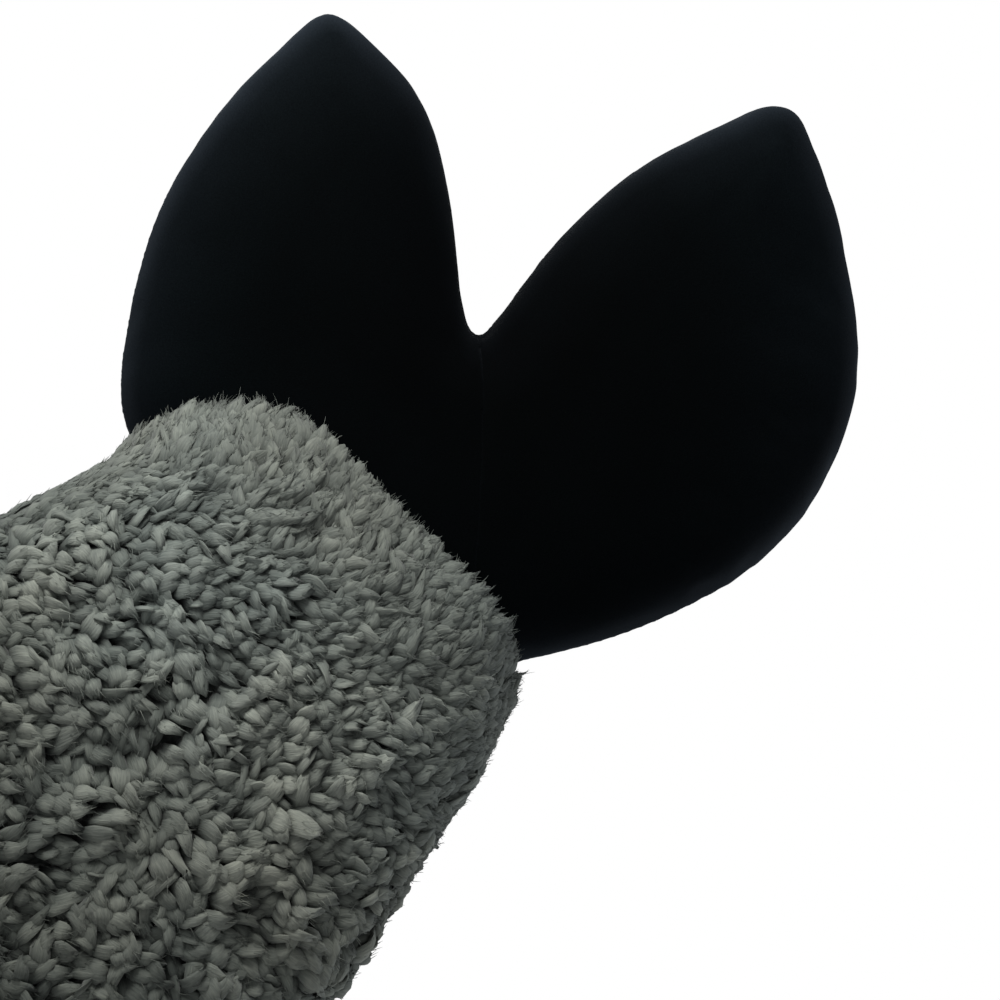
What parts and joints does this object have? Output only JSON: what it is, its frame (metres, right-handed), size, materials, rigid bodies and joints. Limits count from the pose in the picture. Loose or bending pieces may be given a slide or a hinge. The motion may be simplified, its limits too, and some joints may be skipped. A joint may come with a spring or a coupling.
{
  "type": "sock puppet",
  "caption": "Arm-length hand puppet: a flared curly fleece sleeve ending in a padded black head with two pointed lobes that open and close as a mouth.",
  "frame": {"origin": "On the resting plane under the cuff, below the middle of the object's bounding box.", "axes": "+Z runs from the cuff opening up the sleeve to the head; the front of the puppet faces -Y; +X points from the thumb lobe's side to the finger lobe's side. The thickness runs along Y."},
  "size_m": [0.2061, 0.0798, 0.44],
  "materials": {
    "fleece": "grey sherpa fleece, curly pile 8 to 12 mm, matt",
    "velour": "black brushed velour, short nap, soft edge sheen",
    "lining": "dark plain jersey lining",
    "wadding": "white polyester wadding",
    "binding": "dark grey woven binding tape",
    "thread": "black sewing thread, slight sheen"
  },
  "bodies": {
    "sleeve": {"sleeve_panel_front": "fleece", "sleeve_panel_back": "fleece", "sleeve_lining": "lining", "cuff_binding": "binding"},
    "wrist": {"wrist_panel_front": "fleece", "wrist_panel_back": "fleece", "wrist_lining": "lining"},
    "palm": {"hem_panel_front": "fleece", "hem_panel_back": "fleece", "wrist_tunnel": "lining", "palm_cover_front": "velour", "palm_cover_back": "velour", "palm_pad_front": "wadding", "palm_pad_back": "wadding", "hand_lining_front": "lining", "hand_lining_back": "lining", "mouth_tack": "thread"},
    "upper_jaw": {"finger_cover_front": "velour", "finger_cover_back": "velour", "finger_pad_front": "wadding", "finger_pad_back": "wadding", "finger_pocket": "lining"},
    "lower_jaw": {"thumb_cover_front": "velour", "thumb_cover_back": "velour", "thumb_pad_front": "wadding", "thumb_pad_back": "wadding", "thumb_pocket": "lining"}
  },
  "joints": [
    {"name": "wrist_bend", "type": "hinge", "parent": "sleeve", "child": "wrist", "pos_m": [0, 0, 0.145], "axis": [1, 0, 0], "range_deg": [-45, 45], "stiffness_Nm_per_rad": 0.6},
    {"name": "wrist_turn", "type": "hinge", "parent": "wrist", "child": "palm", "pos_m": [0.017, 0, 0.228], "axis": [0, 1, 0], "range_deg": [-25, 25], "stiffness_Nm_per_rad": 0.8},
    {"name": "finger_jaw", "type": "hinge", "parent": "palm", "child": "upper_jaw", "pos_m": [-0.0028, 0, 0.317], "axis": [0, -1, 0], "range_deg": [-7, 22], "stiffness_Nm_per_rad": 0.3},
    {"name": "thumb_jaw", "type": "hinge", "parent": "palm", "child": "lower_jaw", "pos_m": [-0.0028, 0, 0.317], "axis": [0, 1, 0], "range_deg": [-7, 22], "stiffness_Nm_per_rad": 0.3}
  ]
}
